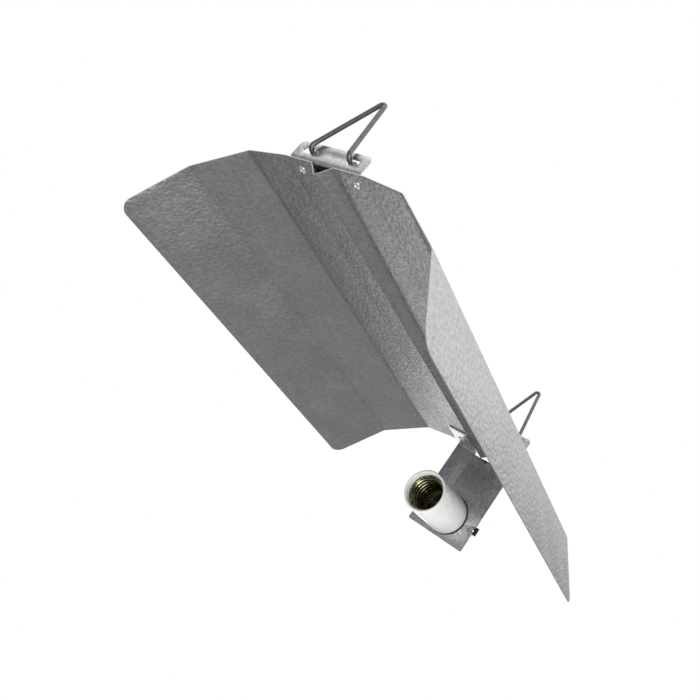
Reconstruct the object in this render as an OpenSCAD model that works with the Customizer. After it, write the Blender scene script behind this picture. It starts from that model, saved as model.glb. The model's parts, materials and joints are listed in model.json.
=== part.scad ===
// Hanging grow lamp: a folded open-ended wing reflector with a screw-shell lampholder
// on an end plate. X is across the wings, Y runs along the ridge from the free end to
// the lampholder end and Z is up. The origin is on the ridge, midway along it.

/* [Reflector] */
// Length of the sheet along the ridge
sheet_length = 470; // [460:1:480]
// Thickness of the embossed aluminium sheet
sheet_t = 0.8; // [0.6:0.1:1]
// Half width of the valley pressed along the ridge
valley_half_w = 12.2; // [11:0.1:13]
// Depth of the valley
valley_depth = 10.4; // [9:0.1:11]
// Size of the valley at the lampholder end as a share of its size at the free end
valley_taper = 0.67; // [0.6:0.01:1]
// Width of the flat strip beside the valley
crown_w = 33; // [32:0.5:36]
// Width of the first wing panel
panel_1_w = 42.5; // [40:0.5:46]
// Width of the second wing panel
panel_2_w = 62; // [56:0.5:66]
// Width of the third, outer wing panel
panel_3_w = 73.5; // [66:0.5:78]
// Slope of the first wing panel in degrees
slope_1 = 6.7; // [4:0.1:9]
// Slope of the second wing panel in degrees
slope_2 = 32.5; // [28:0.5:36]
// Slope of the third wing panel in degrees
slope_3 = 56; // [50:0.5:60]
// Radius of the sheet's four corners
corner_r = 13; // [8:1:16]

/* [Brackets] */
// Thickness of the galvanised steel
steel_t = 1.5; // [1.2:0.1:2]
// Width of both hanger brackets
bracket_w = 79.4; // [78:0.2:82]
// Length of the bracket flanges on the sheet
flange_len = 40; // [30:1:44]
// Height of the front bracket's upright
front_upright_h = 17.8; // [17:0.1:20]
// Height of the rear bracket's upright
rear_upright_h = 43.3; // [38:0.1:48]
// Corner radius of the uprights
upright_r = 4.5; // [2:0.5:6]
// Distance of the slots from the middle
slot_x = 25; // [23:0.5:26]
// Length of a hanger slot
slot_len = 13.5; // [12:0.5:15]
// Height of a hanger slot
slot_h = 5.5; // [5.5:0.1:6]
// Distance from the slots' middle to the upright's top edge
slot_drop = 8.1; // [7.8:0.1:9]
// Distance of the rivets from the middle
rivet_x = 31.4; // [30:0.2:33]
// Distance of the rivets from the sheet's end
rivet_inset = 12; // [9:0.5:15]

/* [Hangers] */
// Diameter of the hanger wire
wire_d = 4; // [3.6:0.1:4]
// Height of the front hanger's loop above the slots
front_rise = 64; // [55:1:80]
// Height of the rear hanger's loop above the slots
rear_rise = 79; // [60:1:90]
// Distance of a hanger's feet from the middle
foot_x = 21.5; // [20:0.5:24]
// Lean of the front hanger over its bracket in degrees
front_lean = 8.5; // [0:0.5:14]
// Lean of the rear hanger away from its bracket in degrees
rear_lean = 9.5; // [0:0.5:20]

/* [Lampholder] */
// Width of the lampholder plate
plate_w = 82; // [80:1:90]
// Length of the plate below the ridge
plate_h = 115.2; // [114:0.2:120]
// Lean of the plate in degrees, foot outward
plate_tilt = 4.3; // [2:0.1:6]
// Distance of the plate's face from the sheet's end
plate_gap = 6.9; // [5:0.1:8]
// Distance from the ridge down the plate to the lamp's axis
socket_drop = 85.8; // [84:0.2:88]
// Outside diameter of the porcelain
porcelain_d = 51; // [50:0.5:54]
// Length of the porcelain
porcelain_len = 74; // [72:1:78]
// Diameter of the porcelain's mouth
mouth_d = 44.4; // [43:0.2:45]
// Thread diameter of the screw shell, the 40 mm lamp cap size
thread_d = 39.5; // [39.5:0.1:39.9]
// Height of the centre contact's head above the socket's floor
contact_rise = 6; // [5:0.5:7]
// Diameter of the supply cord that the clip holds
cord_d = 7; // [6:0.5:8]

/* [Hidden] */
$fn = 48;

eps = 0.01;
half_len = sheet_length / 2;
sheet_over = 5;
bend_r = 1.5;

// Right half of the sheet's upper line, from the valley's bottom to the wing's edge
widths = [crown_w, panel_1_w, panel_2_w, panel_3_w];
slopes = [0, slope_1, slope_2, slope_3];
function run_to(i) = i < 0 ? [valley_half_w, 0]
    : run_to(i - 1) + widths[i] * [cos(slopes[i]), -sin(slopes[i])];
right_line = [[0, -valley_depth], [valley_half_w, 0], for (i = [0:3]) run_to(i)];
last = len(right_line) - 1;
full_line = [
    for (i = [last:-1:1]) [-right_line[i][0], right_line[i][1]],
    for (p = right_line) p
];

// Mitred offset of an open line to its lower side
function unit(v) = v / norm(v);
function seg_normal(pts, i) = let (d = unit(pts[i + 1] - pts[i])) [d[1], -d[0]];
function mitre(pts, i) =
    i == 0 ? seg_normal(pts, 0)
    : i == len(pts) - 1 ? seg_normal(pts, i - 1)
    : let (a = seg_normal(pts, i - 1), b = seg_normal(pts, i)) (a + b) / (1 + a * b);
function lower_line(pts, t) = [for (i = [len(pts) - 1:-1:0]) pts[i] + t * mitre(pts, i)];

// The sheet's section, its upper line from left to right and its lower line back, with
// the valley at a share of its full size
function sheet_section(share) =
    let (line = [for (p = full_line) abs(p[0]) <= valley_half_w ? share * p : p])
    concat(line, lower_line(line, sheet_t));

rivet_r = 2;
rivet_hole_r = 2.05;
rivet_head_r = 4;
rivet_head_h = 1.3;
rivet_tail_r = 3;
rivet_tail_h = 2.2;

wire_r = wire_d / 2;
foot_bend_r = 4;
foot_reach = 5.5;
stub_len = 1.3;
loop_r = 3;

// Both slots' middle heights, and the planes of the uprights
front_slot_z = front_upright_h - slot_drop;
rear_slot_z = rear_upright_h - slot_drop;
front_upright_y = -half_len;
rear_upright_y = half_len + 3.2;

tab_len = 44;
tab_bend_r = 2;
notch_half_w = 13.5;
notch_depth = 5.5;
plate_corner_r = 2;
plate_y = half_len + plate_gap;

// Distances along the lamp's axis from the plate's face
gasket_t = 1.6;
porcelain_z = gasket_t;
porcelain_end = porcelain_z + porcelain_len;
chamber_r = 20;
floor_z = 14;
floor_top = 22;
shell_t = 0.4;
thread_z = floor_top + 9;
mouth_depth = 7.5;
collar_gap = 0.25;
screw_x = 13;
screw_r = 2;
screw_hole_r = 2.2;
screw_sink = 3;
screw_sink_r = 4;
screw_tail = 6;
post_r = 4.6;
nut_across = 7;
nut_h = 3.2;
washer_r = 4.2;
washer_t = 0.8;
shell_screw_y = 12;
shell_screw_r = 1.5;
shell_hole_r = 1.6;
terminal_size = 7;
terminal_reach = 12.5;
centre_terminal_angle = 225;
shell_wire_x = 5.2;
clamp_screw_r = 1.4;
contact_r = 2.4;
contact_head_r = 5;
contact_head_z = floor_top + contact_rise;
contact_head_h = 1.6;
contact_tail_z = floor_z - 6.5;
contact_clip_t = 0.8;
grommet_hole_r = 7.5;
grommet_flange_r = grommet_hole_r + 1.2;
clip_x = 38.5;
clip_w = 10;
clip_t = 2.4;
clip_loop_x = 27.5;
earth_x = -17;
earth_z = -socket_drop + 15;

// ---- Shared shapes ----

// A ring sector from angle a0 to a1
module bend_2d(r_in, t, a0, a1) {
    reach = 3 * (r_in + t);
    intersection() {
        difference() {
            circle(r = r_in + t);
            circle(r = r_in);
        }
        polygon([
            [0, 0],
            reach * [cos(a0), sin(a0)],
            reach * [cos((a0 + a1) / 2), sin((a0 + a1) / 2)],
            reach * [cos(a1), sin(a1)]
        ]);
    }
}

// An outside corner to cut away, with its rounded material left. The arc is a hair
// wide, so that it crosses the two sides instead of only touching them.
module corner_cut(r, depth) {
    translate([-r, -r, -depth / 2]) difference() {
        cube([r + 1, r + 1, depth]);
        translate([0, 0, -1]) cylinder(r = r + 0.02, h = depth + 2);
    }
}

module slot_2d(length, height) {
    r = height / 2;
    square([length - height, height], center = true);
    for (s = [-1, 1]) translate([s * (length / 2 - r), 0]) circle(r = r);
}

// Children at both signs of a distance along X
module both_sides(x) {
    for (s = [-1, 1]) translate([s * x, 0, 0]) children();
}

// Children as they are, or mirrored across X where the sign is negative
module flip_x(sign) {
    if (sign < 0) mirror([1, 0, 0]) children();
    else children();
}

// A right-angled hanger bracket, its upright's outer face on the XZ plane and its
// flange reaching along +Y at z = 0, with rivet holes at hole_y
module hanger_bracket(upright_h, hole_y) {
    inset = bend_r + steel_t;
    difference() {
        rotate([90, 0, 90]) translate([0, 0, -bracket_w / 2]) linear_extrude(bracket_w) {
            translate([inset, 0]) square([flange_len - inset, steel_t]);
            translate([0, inset]) square([steel_t, upright_h - inset]);
            translate([inset, inset]) bend_2d(bend_r, steel_t, 180, 270);
        }
        for (s = [-1, 1]) {
            translate([s * bracket_w / 2, steel_t / 2, upright_h])
                rotate([90, 0, 0]) flip_x(s) corner_cut(upright_r, 4);
            translate([s * bracket_w / 2, flange_len, steel_t / 2]) flip_x(s) corner_cut(upright_r, 4);
            translate([s * slot_x, 3, upright_h - slot_drop]) rotate([90, 0, 0])
                linear_extrude(6) slot_2d(slot_len, slot_h);
            translate([s * rivet_x, hole_y, -1]) cylinder(r = rivet_hole_r, h = 4);
        }
    }
}

// A round tube along frames of [point, direction, first normal]
module tube(frames, r, sides) {
    count = len(frames);
    points = [for (f = frames, k = [0:sides - 1])
        let (a = 360 * k / sides) f[0] + r * (cos(a) * f[2] + sin(a) * cross(f[1], f[2]))];
    walls = [for (i = [0:count - 2], k = [0:sides - 1])
        let (next = (k + 1) % sides)
        [i * sides + k, (i + 1) * sides + k, (i + 1) * sides + next, i * sides + next]];
    ends = [[for (k = [0:sides - 1]) k], [for (k = [sides - 1:-1:0]) (count - 1) * sides + k]];
    polyhedron(points, concat(walls, ends), convexity = 8);
}

// Half of a hanger's centre line, from its hooked foot's tip to the top of its loop.
// The foot passes along Y at z = 0, and the leg stands on the -Y side.
function hanger_half(rise) = let (
    loop_z = rise - loop_r,
    slope = atan2(foot_x, loop_z) - asin(loop_r / norm([foot_x, loop_z])),
    leg_len = sqrt(foot_x * foot_x + loop_z * loop_z - loop_r * loop_r),
    up = [-sin(slope), 0, cos(slope)],
    side = [cos(slope), 0, sin(slope)],
    bend_y = foot_reach - foot_bend_r
) [
    [[foot_x, foot_reach, 0] + (foot_bend_r + stub_len) * up, -up, side],
    for (end = [1, -1], i = [0:6]) let (a = (end > 0 ? 0 : -90) - 15 * i)
        [[foot_x, end * bend_y + foot_bend_r * cos(a), 0] + foot_bend_r * (1 + sin(a)) * up,
            [0, sin(a), 0] - cos(a) * up, side],
    for (i = [0:5]) let (a = slope + (90 - slope) * i / 5)
        [[loop_r * cos(a), -foot_reach, loop_z + loop_r * sin(a)],
            [-sin(a), 0, cos(a)], [cos(a), 0, sin(a)]]
];

module wire_hanger(rise) {
    half = hanger_half(rise);
    flip = [-1, 1, 1];
    other = [for (i = [len(half) - 2:-1:0]) let (f = half[i])
        [[for (k = [0:2]) flip[k] * f[0][k]], [for (k = [0:2]) -flip[k] * f[1][k]],
            [for (k = [0:2]) flip[k] * f[2][k]]]];
    tube(concat(half, other), wire_r, 12);
}

// A blind rivet with its head below, through a pack whose underside is at z = 0
module rivet(pack_t) {
    head_ball_r = (rivet_head_r * rivet_head_r + rivet_head_h * rivet_head_h) / (2 * rivet_head_h);
    intersection() {
        translate([0, 0, head_ball_r - rivet_head_h]) sphere(r = head_ball_r);
        translate([0, 0, -rivet_head_h]) cylinder(r = rivet_head_r + 1, h = rivet_head_h);
    }
    translate([0, 0, -eps]) cylinder(r = rivet_r, h = pack_t + 2 * eps);
    translate([0, 0, pack_t]) cylinder(r1 = rivet_tail_r, r2 = rivet_tail_r - 0.7, h = rivet_tail_h);
}

module pan_screw(r, head_r, head_h, shank) {
    translate([0, 0, -shank]) cylinder(r = r, h = shank + eps);
    difference() {
        union() {
            cylinder(r = head_r, h = head_h * 0.6);
            translate([0, 0, head_h * 0.6]) cylinder(r1 = head_r, r2 = head_r - 0.8, h = head_h * 0.4);
        }
        translate([-head_r - 1, -0.4, head_h * 0.5]) cube([2 * head_r + 2, 0.8, head_h]);
    }
}

module hex_nut(across, bore_r, height) {
    difference() {
        cylinder(d = across / cos(30), h = height, $fn = 6);
        translate([0, 0, -1]) cylinder(r = bore_r, h = height + 2);
    }
}

module washer(outer_r, bore_r, t) {
    difference() {
        cylinder(r = outer_r, h = t);
        translate([0, 0, -1]) cylinder(r = bore_r, h = t + 2);
    }
}

// Children in the plate's own frame: its front face is the XZ plane, +Y is its back
module on_plate() {
    translate([0, plate_y, 0]) rotate([plate_tilt, 0, 0]) children();
}

// Children on the lamp's axis, with +Z out of the plate's front face
module on_lamp_axis() {
    on_plate() translate([0, 0, -socket_drop]) rotate([90, 0, 0]) children();
}

// ---- Sub-parts ----

// The sheet is shaped a little too long, and then cut to length square
module reflector_sheet() {
    extra = (1 - valley_taper) * sheet_over / sheet_length;
    front = sheet_section(1 + extra);
    rear = sheet_section(valley_taper - extra);
    count = len(front);
    shaped_y = half_len + sheet_over;
    points = concat(
        [for (p = front) [p[0], -shaped_y, p[1]]],
        [for (p = rear) [p[0], shaped_y, p[1]]]
    );
    walls = [for (i = [0:count - 1]) let (next = (i + 1) % count) [i, i + count, next + count, next]];
    ends = [[for (i = [0:count - 1]) i], [for (i = [2 * count - 1:-1:count]) i]];
    color("#7d7d7d") difference() {
        intersection() {
            polyhedron(points, concat(walls, ends), convexity = 6);
            cube([sheet_length, sheet_length, sheet_length], center = true);
        }
        for (s = [-1, 1], e = [-1, 1]) {
            translate([s * right_line[last - 1][0], e * half_len, right_line[last - 1][1]])
                rotate([0, s * slope_3, 0]) translate([s * panel_3_w, 0, 0])
                flip_x(s) mirror([0, e < 0 ? 1 : 0, 0]) corner_cut(corner_r, 6);
            translate([s * rivet_x, e * (half_len - rivet_inset), -3]) cylinder(r = rivet_hole_r, h = 6);
        }
    }
}

module front_bracket() {
    color("#a8a8a8") translate([0, front_upright_y, 0]) hanger_bracket(front_upright_h, rivet_inset);
}

module rear_bracket() {
    outer_y = rear_upright_y + steel_t;
    color("#a8a8a8") translate([0, outer_y, 0]) mirror([0, 1, 0])
        hanger_bracket(rear_upright_h, outer_y - half_len + rivet_inset);
}

module lampholder_plate() {
    // The strip's side line: a level tab under the sheet, a bend and the leaning plate
    tab_z = -sheet_t - steel_t;
    centre_z = tab_z - tab_bend_r;
    centre = [-(tab_bend_r + centre_z * sin(plate_tilt)) / cos(plate_tilt), centre_z];
    out = [cos(plate_tilt), sin(plate_tilt)];
    foot = plate_h * [sin(plate_tilt), -cos(plate_tilt)];
    bend_angles = [for (i = [0:5]) 90 - (90 - plate_tilt) * i / 5];
    side_line = concat(
        [[-tab_len, -sheet_t]],
        [for (a = bend_angles) centre + (tab_bend_r + steel_t) * [cos(a), sin(a)]],
        [foot + steel_t * out, foot],
        [for (i = [5:-1:0]) centre + tab_bend_r * [cos(bend_angles[i]), sin(bend_angles[i])]],
        [[-tab_len, tab_z]]
    );
    color("#8e8e8e") difference() {
        translate([0, plate_y, 0]) rotate([90, 0, 90]) translate([0, 0, -plate_w / 2])
            linear_extrude(plate_w) polygon(side_line);
        on_plate() {
            for (s = [-1, 1]) translate([s * plate_w / 2, steel_t / 2, -plate_h])
                rotate([-90, 0, 0]) flip_x(s) corner_cut(plate_corner_r, 4);
            translate([clip_x, -1, -socket_drop]) rotate([-90, 0, 0]) cylinder(r = screw_hole_r, h = 4);
            translate([earth_x, -1, earth_z]) rotate([-90, 0, 0]) cylinder(r = screw_r, h = 4);
            // The notch that leaves two tabs and clears the sheet's valley
            translate([-notch_half_w, -tab_len - 5, -notch_depth]) cube([2 * notch_half_w, tab_len + 10, 20]);
        }
        on_lamp_axis() {
            translate([0, 0, -3]) cylinder(r = grommet_hole_r, h = 5);
            both_sides(screw_x) translate([0, 0, -3]) cylinder(r = screw_hole_r, h = 5);
        }
        both_sides(rivet_x) translate([0, half_len - rivet_inset, -5])
            cylinder(r = rivet_hole_r, h = 6);
    }
}

module front_hanger() {
    color("#5a5a5a") translate([0, front_upright_y + steel_t / 2, front_slot_z])
        rotate([-front_lean, 0, 0]) wire_hanger(front_rise);
}

module rear_hanger() {
    color("#5a5a5a") translate([0, rear_upright_y + steel_t / 2, rear_slot_z])
        rotate([-rear_lean, 0, 0]) mirror([0, 1, 0]) wire_hanger(rear_rise);
}

module front_rivets() {
    color("#c9c9c9") both_sides(rivet_x) translate([0, -half_len + rivet_inset, -sheet_t])
        rivet(sheet_t + steel_t);
}

module rear_rivets() {
    color("#c9c9c9") both_sides(rivet_x)
        translate([0, half_len - rivet_inset, -sheet_t - steel_t]) rivet(sheet_t + 2 * steel_t);
}

module base_gasket() {
    color("#5a2a24") on_lamp_axis() difference() {
        cylinder(r = porcelain_d / 2 + 0.4, h = gasket_t);
        translate([0, 0, -1]) cylinder(r = grommet_hole_r + 2.5, h = gasket_t + 2);
        both_sides(screw_x) translate([0, 0, -1]) cylinder(r = screw_hole_r, h = gasket_t + 2);
    }
}

module lampholder_body() {
    outer_r = porcelain_d / 2;
    lip_r = 1.5;
    color("#ececec") on_lamp_axis() difference() {
        union() {
            rotate_extrude() difference() {
                union() {
                    translate([0, porcelain_z]) square([outer_r, porcelain_len - lip_r]);
                    translate([0, porcelain_end - lip_r]) square([outer_r - lip_r, lip_r]);
                    translate([outer_r - lip_r, porcelain_end - lip_r]) circle(r = lip_r);
                }
                translate([0, floor_top]) square([thread_d / 2 + shell_t + 0.35, porcelain_len]);
                translate([0, porcelain_end - mouth_depth]) square([mouth_d / 2, porcelain_len]);
                translate([0, porcelain_z - 1]) square([chamber_r, floor_z - porcelain_z + 1]);
            }
            both_sides(screw_x) translate([0, 0, porcelain_z])
                cylinder(r = post_r, h = floor_z - porcelain_z + eps);
        }
        both_sides(screw_x) {
            cylinder(r = screw_hole_r, h = floor_top + 1);
            translate([0, 0, floor_top - screw_sink]) cylinder(r = screw_sink_r, h = screw_sink + 1);
        }
        for (s = [-1, 1]) translate([0, s * shell_screw_y, floor_z - 1]) cylinder(r = shell_hole_r, h = 12);
        translate([0, 0, floor_z - 1]) cylinder(r = contact_r + 0.05, h = 12);
    }
}

// The shell stands on the porcelain's floor, and its collar lies on the mouth's shelf
module screw_shell() {
    r = thread_d / 2;
    collar_z = porcelain_end - mouth_depth;
    depth = collar_z + shell_t - floor_top;
    color("#b8a86a") on_lamp_axis() difference() {
        union() {
            translate([0, 0, floor_top]) cylinder(r = r + shell_t, h = depth);
            translate([0, 0, collar_z]) cylinder(r = mouth_d / 2 - collar_gap, h = shell_t);
        }
        translate([0, 0, floor_top + 0.8]) cylinder(r = r - 0.6, h = depth);
        translate([0, 0, thread_z]) cylinder(r = r, h = depth);
        translate([0, 0, floor_top - 1]) cylinder(r = 7.5, h = 4);
        both_sides(screw_x) translate([0, 0, floor_top - 1]) cylinder(r = screw_sink_r + 0.2, h = 4);
        for (s = [-1, 1]) translate([0, s * shell_screw_y, floor_top - 1]) cylinder(r = shell_hole_r, h = 4);
    }
}

module shell_screws() {
    color("#cfc9a8") on_lamp_axis() for (s = [-1, 1])
        translate([0, s * shell_screw_y, floor_top + 0.8]) pan_screw(shell_screw_r, 2.8, 1.8, 12);
}

module centre_contact() {
    color("#b89a4a") on_lamp_axis() {
        translate([0, 0, contact_tail_z])
            cylinder(r = contact_r, h = contact_head_z - contact_tail_z + eps);
        translate([0, 0, contact_head_z]) cylinder(r = contact_head_r, h = contact_head_h);
        translate([0, 0, contact_head_z + contact_head_h])
            cylinder(r1 = contact_head_r, r2 = contact_head_r - 1.2, h = 0.8);
    }
}

module contact_clip() {
    color("#8a8a8a") on_lamp_axis() translate([0, 0, floor_z - 0.9 - contact_clip_t])
        washer(4.2, contact_r, contact_clip_t);
}

// The spring stands between the porcelain floor and the contact's head
module contact_spring() {
    coils = 4;
    coil_wire_r = 0.4;
    coil_r = 3.6;
    steps = 20 * coils;
    low = floor_top + coil_wire_r;
    rise = contact_head_z - coil_wire_r - low;
    climb = rise / (2 * PI * coils * coil_r);
    frames = [for (i = [0:steps]) let (a = 360 * coils * i / steps)
        [[coil_r * cos(a), coil_r * sin(a), low + rise * i / steps],
            [-sin(a), cos(a), climb] / norm([1, climb]), [cos(a), sin(a), 0]]];
    color("#9a9a9a") on_lamp_axis() tube(frames, coil_wire_r, 8);
}

// A brass terminal block that hangs from z = 0, with a hole along Y for the wire
// and a clamping screw's hole from below, both at wire_x
module terminal_block(left, right, wire_x) {
    difference() {
        translate([left, -terminal_size / 2, -terminal_size])
            cube([right - left, terminal_size, terminal_size]);
        translate([wire_x, -terminal_size, -terminal_size / 2]) rotate([-90, 0, 0])
            cylinder(r = 1.5, h = 2 * terminal_size);
        translate([wire_x, 0, -terminal_size - 1]) cylinder(r = clamp_screw_r, h = terminal_size / 2 + 1);
    }
}

// The centre contact's terminal, with a strap that lies round the contact's stem
module centre_terminal() {
    strap_w = 6;
    strap_t = 0.6;
    ring_r = 4;
    color("#c2a24e") on_lamp_axis() translate([0, 0, floor_z]) rotate([0, 0, centre_terminal_angle])
        difference() {
            union() {
                translate([terminal_reach, 0, 0]) rotate([0, 0, 90])
                    terminal_block(-4, 4, 0);
                translate([0, -strap_w / 2, -strap_t]) cube([terminal_reach - 3, strap_w, strap_t]);
                translate([0, 0, -strap_t]) cylinder(r = ring_r, h = strap_t);
            }
            translate([0, 0, -1]) cylinder(r = contact_r + 0.1, h = 2);
        }
}

// The screw shell's terminal, which one of the shell's screws holds
module shell_terminal() {
    color("#c2a24e") on_lamp_axis() translate([0, shell_screw_y, floor_z]) difference() {
        terminal_block(-3.5, 8.5, shell_wire_x);
        translate([0, 0, -terminal_size - 1]) cylinder(r = shell_screw_r, h = terminal_size + 2);
    }
}

module terminal_screws() {
    color("#cfc9a8") on_lamp_axis() translate([0, 0, floor_z - terminal_size]) {
        translate([shell_wire_x, shell_screw_y, 0]) terminal_screw();
        rotate([0, 0, centre_terminal_angle]) translate([terminal_reach, 0, 0]) terminal_screw();
    }
}

module terminal_screw() {
    mirror([0, 0, 1]) pan_screw(clamp_screw_r, 2.2, 1.4, 2);
}

module shell_nut() {
    color("#c4c4c4") on_lamp_axis() translate([0, -shell_screw_y, floor_z - 2.4])
        hex_nut(5.5, shell_screw_r, 2.4);
}

module mounting_screws() {
    color("#c4c4c4") on_lamp_axis() both_sides(screw_x)
        translate([0, 0, floor_top - screw_sink])
            pan_screw(screw_r, 3.8, 2.6, floor_top - screw_sink + steel_t + screw_tail);
}

module mounting_washers() {
    color("#bdbdbd") on_lamp_axis() both_sides(screw_x)
        translate([0, 0, -steel_t - washer_t]) washer(washer_r, screw_hole_r, washer_t);
}

module mounting_nuts() {
    color("#c4c4c4") on_lamp_axis() both_sides(screw_x)
        translate([0, 0, -steel_t - washer_t - nut_h]) hex_nut(nut_across, screw_r, nut_h);
}

module cable_grommet() {
    color("#1c1c1c") on_lamp_axis() difference() {
        union() {
            translate([0, 0, -steel_t - 2]) cylinder(r = grommet_flange_r, h = 2);
            translate([0, 0, -steel_t - eps]) cylinder(r = grommet_hole_r, h = steel_t + 2 * eps);
            cylinder(r = grommet_flange_r, h = gasket_t);
        }
        translate([0, 0, -steel_t - 3]) cylinder(r = cord_d / 2 + 0.5, h = steel_t + gasket_t + 4);
    }
}

// A moulded P-clip behind the plate: a loop for the cord and a doubled foot
module cord_clip() {
    loop_r = cord_d / 2;
    loop_wall = 1.6;
    loop_y = steel_t + loop_r + loop_wall + 0.2;
    foot_half = 6;
    color("#141414") on_plate() difference() {
        union() {
            translate([clip_loop_x, loop_y, -socket_drop - clip_w / 2])
                cylinder(r = loop_r + loop_wall, h = clip_w);
            translate([clip_loop_x, steel_t, -socket_drop - clip_w / 2])
                cube([clip_x - clip_loop_x, clip_t, clip_w]);
            translate([clip_x, steel_t, -socket_drop - clip_w / 2])
                cube([foot_half, clip_t, clip_w]);
        }
        translate([clip_loop_x, loop_y, -socket_drop - clip_w]) cylinder(r = loop_r, h = 2 * clip_w);
        translate([clip_x, 0, -socket_drop]) rotate([-90, 0, 0]) cylinder(r = screw_hole_r, h = 6);
    }
}

module clip_screw() {
    color("#c4c4c4") on_plate() translate([clip_x, 0, -socket_drop]) rotate([90, 0, 0])
        pan_screw(screw_r, 3.4, 1.8, steel_t + clip_t + 5);
}

module clip_nut() {
    color("#c4c4c4") on_plate() translate([clip_x, steel_t + clip_t, -socket_drop])
        rotate([-90, 0, 0]) hex_nut(nut_across, screw_r, nut_h);
}

// A press-in stud, its head flush with the plate's front face
module earth_stud() {
    color("#c9b37a") on_plate() translate([earth_x, 0, earth_z]) rotate([-90, 0, 0])
        cylinder(r = screw_r, h = 10);
}

module earth_washer() {
    color("#bdbdbd") on_plate() translate([earth_x, steel_t, earth_z]) rotate([-90, 0, 0])
        washer(washer_r, screw_r + 0.1, washer_t);
}

module earth_nut() {
    color("#c9b37a") on_plate() translate([earth_x, steel_t + washer_t, earth_z]) rotate([-90, 0, 0])
        hex_nut(nut_across, screw_r, nut_h);
}

reflector_sheet();
front_bracket();
rear_bracket();
lampholder_plate();
front_hanger();
rear_hanger();
front_rivets();
rear_rivets();
base_gasket();
lampholder_body();
screw_shell();
shell_screws();
centre_contact();
contact_clip();
contact_spring();
centre_terminal();
shell_terminal();
shell_nut();
terminal_screws();
mounting_screws();
mounting_washers();
mounting_nuts();
cable_grommet();
cord_clip();
clip_screw();
clip_nut();
earth_stud();
earth_washer();
earth_nut();
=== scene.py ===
"""Hanging grow lamp: a folded stucco-aluminium wing reflector on two wire hangers, with a
porcelain screw-shell lampholder on an end plate. Sizes are in millimetres in the part's own
frame (X across the wings, Y along the ridge, Z up), and metres only where Blender gets them."""
import json
import math

import bmesh
import bpy
from mathutils import Matrix, Vector


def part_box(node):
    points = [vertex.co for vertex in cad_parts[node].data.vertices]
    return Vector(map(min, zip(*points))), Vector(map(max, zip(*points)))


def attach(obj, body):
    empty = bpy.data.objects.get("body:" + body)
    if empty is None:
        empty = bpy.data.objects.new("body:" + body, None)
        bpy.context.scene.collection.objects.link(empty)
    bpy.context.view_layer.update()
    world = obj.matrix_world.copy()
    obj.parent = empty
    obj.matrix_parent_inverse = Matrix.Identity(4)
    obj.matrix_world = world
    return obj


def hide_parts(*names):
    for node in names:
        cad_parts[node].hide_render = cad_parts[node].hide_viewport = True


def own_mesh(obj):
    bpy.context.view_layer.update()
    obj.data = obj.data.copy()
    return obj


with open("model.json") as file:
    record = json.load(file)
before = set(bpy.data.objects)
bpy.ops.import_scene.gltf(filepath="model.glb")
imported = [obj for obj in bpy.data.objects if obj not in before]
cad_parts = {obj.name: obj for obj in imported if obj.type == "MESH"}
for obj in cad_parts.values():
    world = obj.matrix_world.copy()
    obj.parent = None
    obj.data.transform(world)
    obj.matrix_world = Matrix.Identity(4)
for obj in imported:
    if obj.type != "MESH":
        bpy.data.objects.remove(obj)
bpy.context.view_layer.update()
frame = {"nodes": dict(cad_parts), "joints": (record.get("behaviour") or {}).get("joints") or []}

MM = 0.001
TAU = 2 * math.pi

# Driving sizes of the sheet-metal parts
SHEET_LENGTH = 470
SHEET_T = 0.8
VALLEY_HALF_W = 12.2
VALLEY_DEPTH = 10.4
VALLEY_TAPER = 0.67
PANEL_WIDTHS = (33, 42.5, 62, 73.5)
PANEL_SLOPES = (0, 6.7, 32.5, 56)
SHEET_CORNER_R = 13
STEEL_T = 1.5
BRACKET_W = 79.4
FLANGE_LEN = 40
BEND_R = 1.5
UPRIGHT_R = 4.5
SLOT_X, SLOT_LEN, SLOT_H, SLOT_DROP = 25, 13.5, 5.5, 8.1
RIVET_X, RIVET_INSET, RIVET_HOLE_R = 31.4, 12, 2.05
PLATE_W, PLATE_H, PLATE_GAP = 82, 115.2, 6.9
PLATE_CORNER_R, TAB_CORNER_R, NOTCH_CORNER_R = 2, 1.5, 2
TAB_LEN, TAB_BEND_R = 44, 2
NOTCH_HALF_W, NOTCH_DEPTH = 13.5, 5.5

# The sheet's bend radii, from the valley's bottom out to the last bend
SHEET_BENDS = (1.0, 1.6, 6, 8, 6)
# How far the painted shade along each bend reaches, and how dark it is at each bend, in the same order
CREASE_SHADE_REACH = 3.5
CREASE_SHADE_STRENGTHS = (0.5, 0.8, 0.25, 0.9, 0.3)
# The spacing of the scored lines that let the sheet's mesh follow the tapering valley
SHEET_GRID = 10

# Driving sizes of the hangers
WIRE_R = 2
FOOT_X, FOOT_REACH, FOOT_BEND_R, STUB_LEN, LOOP_R = 21.5, 5.5, 4, 1.3, 3
FRONT_LEAN, REAR_LEAN = 8.5, 9.5
FRONT_RISE, REAR_RISE = 64, 79

# Driving sizes along the lamp's axis, from the plate's front face
SOCKET_DROP = 85.8
GASKET_T = 1.6
PORCELAIN_R, PORCELAIN_END = 25.5, 75.6
MOUTH_R, MOUTH_DEPTH = 22.2, 7.5
BORE_R = 20.5
FLOOR_Z, FLOOR_TOP = 14, 22
CHAMBER_R = 20
THREAD_R, THREAD_PITCH, THREAD_DEPTH = 19.75, 6.35, 1.8
SHELL_T, THREAD_Z, COLLAR_R, SHELL_FLOOR_HOLE_R = 0.4, 31, 21.95, 7.5
SCREW_X, SCREW_HOLE_R, SCREW_SINK, SCREW_SINK_R = 13, 2.2, 3, 4
SHELL_SCREW_Y, SHELL_HOLE_R = 12, 1.6
POST_R = 4.6
GROMMET_HOLE_R = 7.5
CONTACT_R, CONTACT_HEAD_R, CONTACT_HEAD_Z, CONTACT_TAIL_Z = 2.4, 5, 28, 7.5
CLIP_X = 38.5
EARTH_X, EARTH_RISE = -17, 15

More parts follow.
